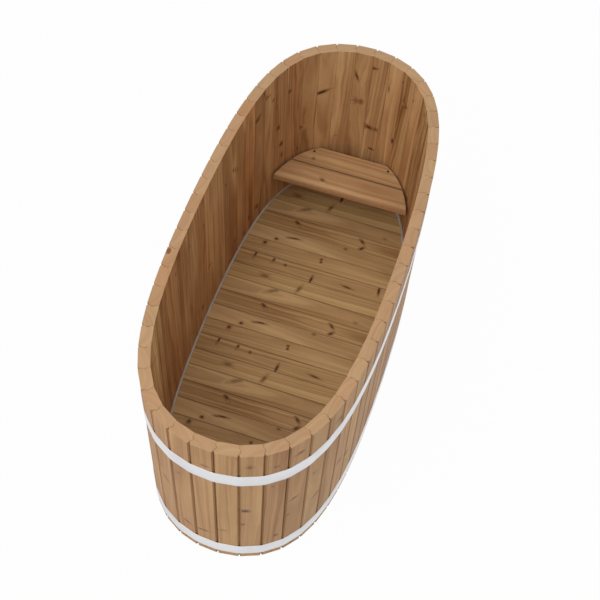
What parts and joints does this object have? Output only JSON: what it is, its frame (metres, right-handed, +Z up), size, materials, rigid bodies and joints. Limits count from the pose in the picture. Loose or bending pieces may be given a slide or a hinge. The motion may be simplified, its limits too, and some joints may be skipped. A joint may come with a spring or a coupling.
{
  "type": "wooden plunge tub",
  "caption": "Oval plunge tub of upright wooden staves held by two flat metal hoops, with a board floor, a seat across one end and a drain with a lift-out plug.",
  "frame": {"origin": "middle of the whole tub's footprint, on the ground it stands on", "axes": "+Z up, +Y along the tub towards the seat end, +X across the tub to the right when facing the seat end"},
  "size_m": [0.7389, 1.71, 0.8],
  "materials": {
    "bearer_wood": "sawn softwood, matt",
    "clamp_steel": "satin",
    "cleat_wood": "planed softwood, satin",
    "drain_nut_plastic": "matt",
    "drain_steel": "satin",
    "floor_wood": "planed softwood with knots, satin",
    "hoop_steel": "pale rolled strip, satin",
    "plug_rubber": "matt",
    "screw_steel": "dulled",
    "seal_rubber": "grey elastic sealant, satin",
    "seat_wood": "planed softwood, satin",
    "stave_wood": "planed softwood, satin"
  },
  "bodies": {
    "tub": {"drain_body": "drain_steel", "drain_nut": "drain_nut_plastic", "floor_boards_01_03": "floor_wood", "floor_boards_02_04": "floor_wood", "floor_boards_05_07": "floor_wood", "floor_boards_06_08": "floor_wood", "floor_boards_09_11": "floor_wood", "floor_boards_10_12": "floor_wood", "floor_boards_13_15": "floor_wood", "floor_boards_14_16": "floor_wood", "floor_boards_17_19": "floor_wood", "floor_boards_18_20": "floor_wood", "floor_boards_21_23": "floor_wood", "floor_boards_22": "floor_wood", "floor_seal": "seal_rubber", "hoop_bolts": "clamp_steel", "hoop_lugs": "clamp_steel", "hoop_nuts": "clamp_steel", "left_floor_bearer": "bearer_wood", "left_seat_cleat": "cleat_wood", "lower_hoop": "hoop_steel", "middle_floor_bearer": "bearer_wood", "right_floor_bearer": "bearer_wood", "right_seat_cleat": "cleat_wood", "seat_back_board": "seat_wood", "seat_front_board": "seat_wood", "seat_screws": "screw_steel", "staves_01_03": "stave_wood", "staves_02_04": "stave_wood", "staves_05_07": "stave_wood", "staves_06_08": "stave_wood", "staves_09_11": "stave_wood", "staves_10_12": "stave_wood", "staves_13_15": "stave_wood", "staves_14_16": "stave_wood", "staves_17_19": "stave_wood", "staves_18_20": "stave_wood", "staves_21_23": "stave_wood", "staves_22_24": "stave_wood", "staves_25_27": "stave_wood", "staves_26_28": "stave_wood", "staves_29_31": "stave_wood", "staves_30_32": "stave_wood", "staves_33_35": "stave_wood", "staves_34_36": "stave_wood", "staves_37_39": "stave_wood", "staves_38_40": "stave_wood", "staves_41_43": "stave_wood", "staves_42_44": "stave_wood", "staves_45_47": "stave_wood", "staves_46_48": "stave_wood", "staves_49_51": "stave_wood", "staves_50_52": "stave_wood", "staves_53_55": "stave_wood", "staves_54": "stave_wood", "upper_hoop": "hoop_steel"},
    "plug": {"drain_plug": "plug_rubber"}
  },
  "joints": [
    {"name": "plug_lift", "type": "slide", "parent": "tub", "child": "plug", "axis": [0, 0, 1], "range_m": [0, 0.06]}
  ]
}
